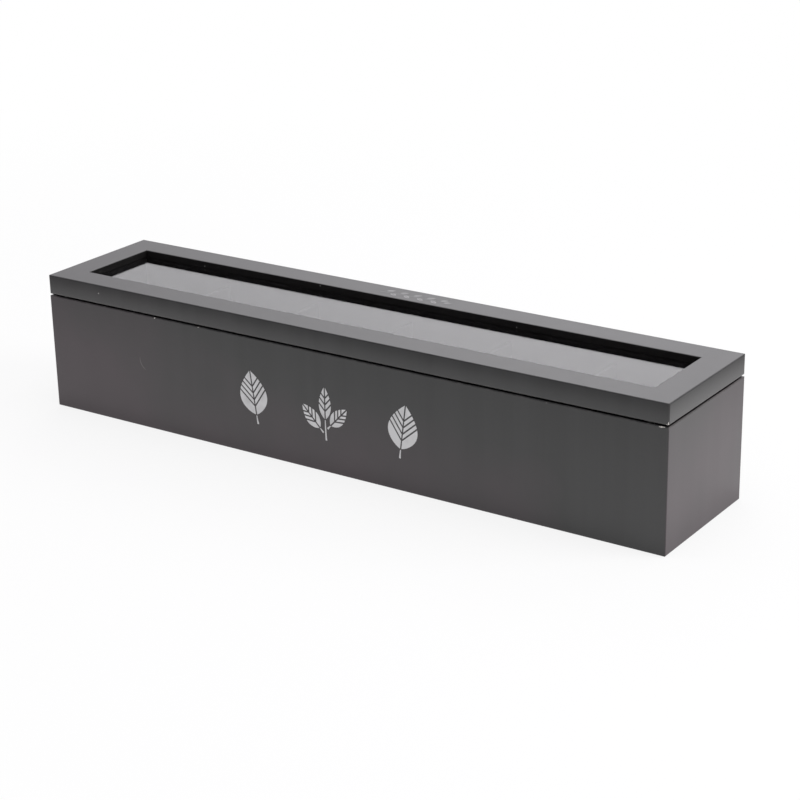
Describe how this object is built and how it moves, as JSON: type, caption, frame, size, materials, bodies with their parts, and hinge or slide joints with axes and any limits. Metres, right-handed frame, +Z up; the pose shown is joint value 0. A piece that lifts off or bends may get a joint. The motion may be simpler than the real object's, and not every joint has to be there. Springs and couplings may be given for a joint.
{
  "type": "tea bag organizer box",
  "caption": "Long, narrow lacquered box with a row of compartments for tea bags and a glazed lid hinged at the back.",
  "frame": {"origin": "centre of the box's footprint, on the surface it stands on", "axes": "+X along the length to the right, the front faces -Y, the lid hinges at +Y, +Z up"},
  "size_m": [0.43, 0.0913, 0.0863],
  "materials": {
    "black_lacquer": "MDF sprayed with satin near-black lacquer",
    "inner_lacquer": "thin MDF sprayed with matt near-black lacquer",
    "window_glass": "thin clear float glass with seamed edges",
    "hinge_steel": "pressed steel, zinc plated",
    "screw_steel": "zinc plated steel screws",
    "bumper_rubber": "black self-adhesive rubber pad"
  },
  "bodies": {
    "box": {"front_panel": "black_lacquer", "back_panel": "black_lacquer", "left_end_panel": "black_lacquer", "right_end_panel": "black_lacquer", "bottom_panel": "black_lacquer", "divider_1": "inner_lacquer", "divider_2": "inner_lacquer", "divider_3": "inner_lacquer", "divider_4": "inner_lacquer", "divider_5": "inner_lacquer", "bumper_left": "bumper_rubber", "bumper_right": "bumper_rubber", "hinge_left_box_leaf": "hinge_steel", "hinge_right_box_leaf": "hinge_steel", "hinge_left_pin": "hinge_steel", "hinge_right_pin": "hinge_steel", "hinge_left_box_screws": "screw_steel", "hinge_right_box_screws": "screw_steel"},
    "lid": {"lid_front_rail": "black_lacquer", "lid_back_rail": "black_lacquer", "lid_left_stile": "black_lacquer", "lid_right_stile": "black_lacquer", "glass_pane": "window_glass", "glazing_bead_front": "inner_lacquer", "glazing_bead_back": "inner_lacquer", "glazing_bead_left": "inner_lacquer", "glazing_bead_right": "inner_lacquer", "hinge_left_lid_leaf": "hinge_steel", "hinge_right_lid_leaf": "hinge_steel", "hinge_left_lid_screws": "screw_steel", "hinge_right_lid_screws": "screw_steel"}
  },
  "joints": [
    {"name": "lid_hinge", "type": "hinge", "parent": "box", "child": "lid", "pos_m": [0, 0.04435, 0.0736], "axis": [-1, 0, 0], "range_deg": [0, 100]}
  ]
}
